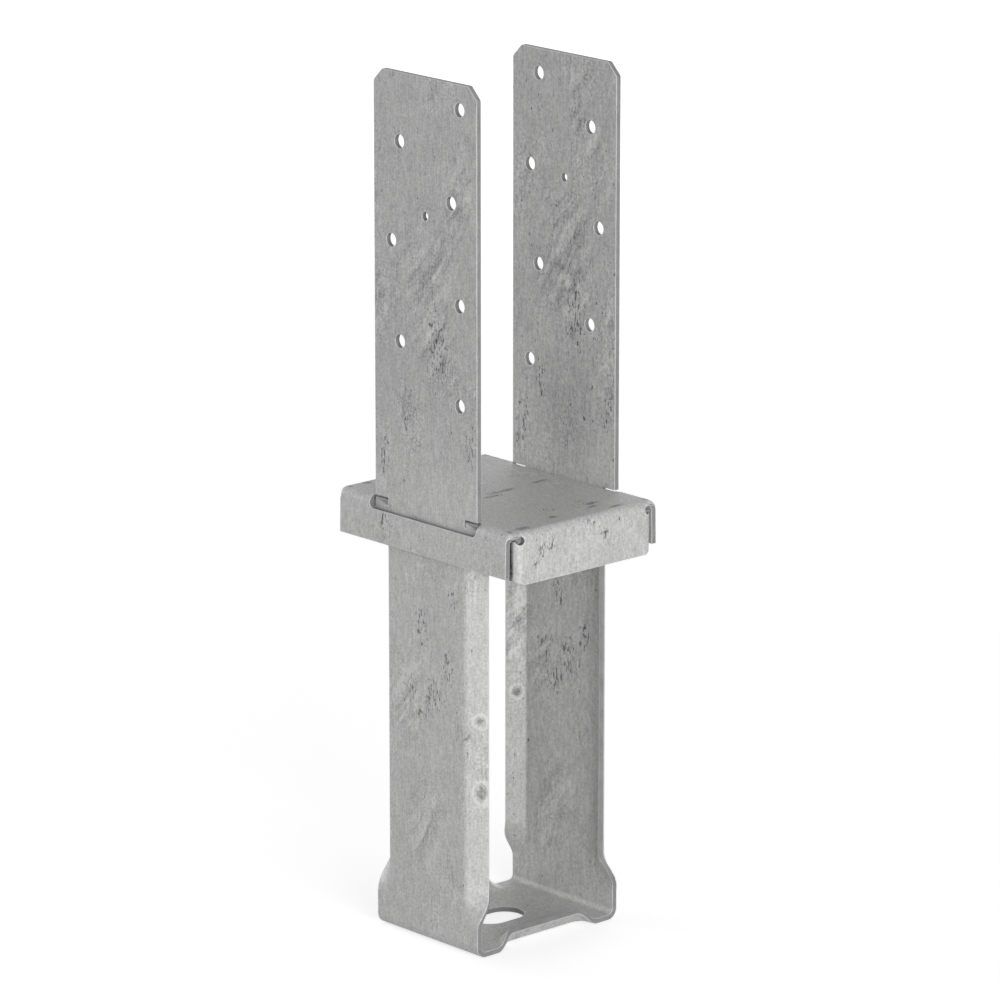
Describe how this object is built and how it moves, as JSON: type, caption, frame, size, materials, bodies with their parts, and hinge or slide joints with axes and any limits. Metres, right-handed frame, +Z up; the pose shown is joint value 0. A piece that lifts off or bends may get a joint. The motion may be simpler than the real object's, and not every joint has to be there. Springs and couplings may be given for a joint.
{
  "type": "standoff column base",
  "caption": "Standoff column base: a deep folded U strap with staggered screw holes and stiffening wings, through a folded tray that lifts a timber post clear of concrete.",
  "frame": {"origin": "under the middle of the U's web, the surface that it stands on", "axes": "+Z up along the straps, Y from the front strap to the back one, X along the straps' width"},
  "size_m": [0.1308, 0.1028, 0.4477],
  "materials": {
    "strap_zinc": "galvanised, matt grey",
    "tray_zinc": "galvanised, matt grey"
  },
  "bodies": {
    "root": {"u_strap": "strap_zinc", "standoff_base": "tray_zinc"}
  },
  "joints": []
}
